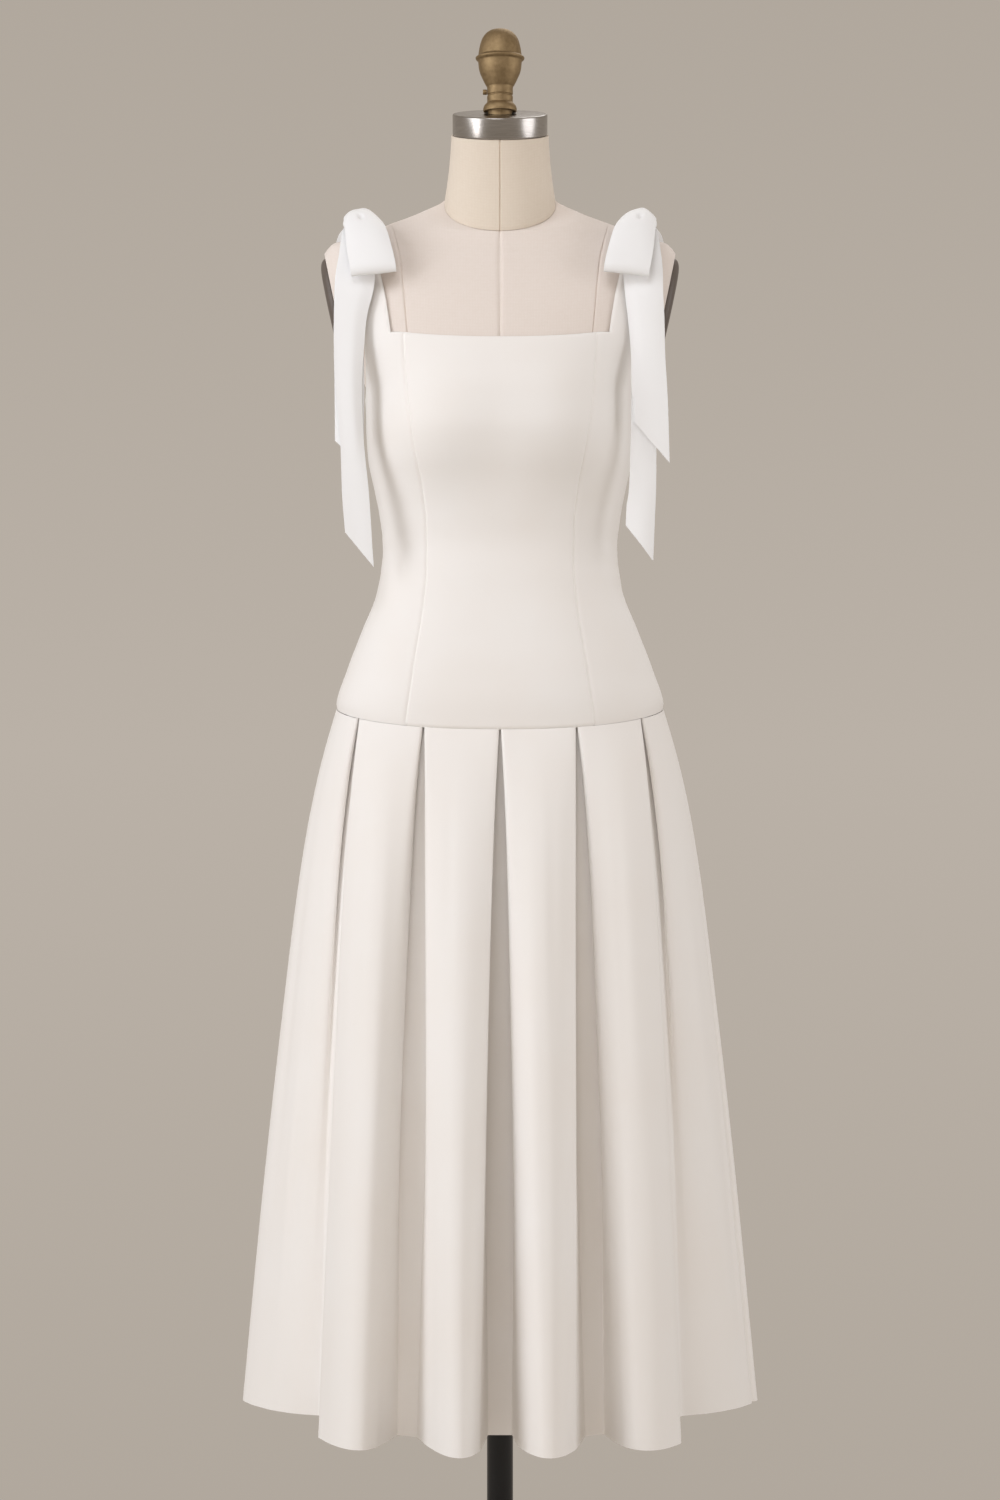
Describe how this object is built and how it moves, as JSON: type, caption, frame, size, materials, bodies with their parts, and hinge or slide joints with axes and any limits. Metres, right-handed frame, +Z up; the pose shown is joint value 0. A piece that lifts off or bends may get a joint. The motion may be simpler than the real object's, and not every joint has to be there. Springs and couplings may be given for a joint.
{
  "type": "a-line dress on a dress form",
  "caption": "Sleeveless dropped-waist dress with square neck, shoulder bows and a box-pleated midi skirt, worn on a limbless dress form with a round stand.",
  "frame": {"origin": "centre of the round foot, on the floor", "axes": "+Z up the pole; the front of the dress faces -Y; the wearer's left is +X"},
  "size_m": [0.511, 0.5388, 1.6105],
  "materials": {
    "crepe": "ivory crepe, matt with a faint satin sheen",
    "linen": "natural linen canvas stretched over the form",
    "steel": "brushed round the band",
    "antiqued_brass": "cast and turned, antiqued",
    "plate_brown": "dark brown, satin",
    "black_enamel": "black enamel"
  },
  "bodies": {
    "root": {"bodice_front_centre": "crepe", "bodice_back_centre_left": "crepe", "bodice_back_centre_right": "crepe", "bodice_side_front_left": "crepe", "bodice_side_back_left": "crepe", "bodice_side_front_right": "crepe", "bodice_side_back_right": "crepe", "bow_knot_left": "crepe", "bow_front_loop_left": "crepe", "bow_back_loop_left": "crepe", "bow_long_tail_left": "crepe", "bow_short_tail_left": "crepe", "bow_knot_right": "crepe", "bow_front_loop_right": "crepe", "bow_back_loop_right": "crepe", "bow_long_tail_right": "crepe", "bow_short_tail_right": "crepe", "skirt_front": "crepe", "skirt_back": "crepe", "form_torso": "linen", "form_neck": "linen", "neck_cap": "steel", "finial": "antiqued_brass", "finial_set_screw": "antiqued_brass", "arm_plate_left": "plate_brown", "arm_plate_right": "plate_brown", "pole_socket": "black_enamel", "stand_pole": "black_enamel", "stand_collar": "black_enamel", "stand_base": "black_enamel"}
  },
  "joints": []
}
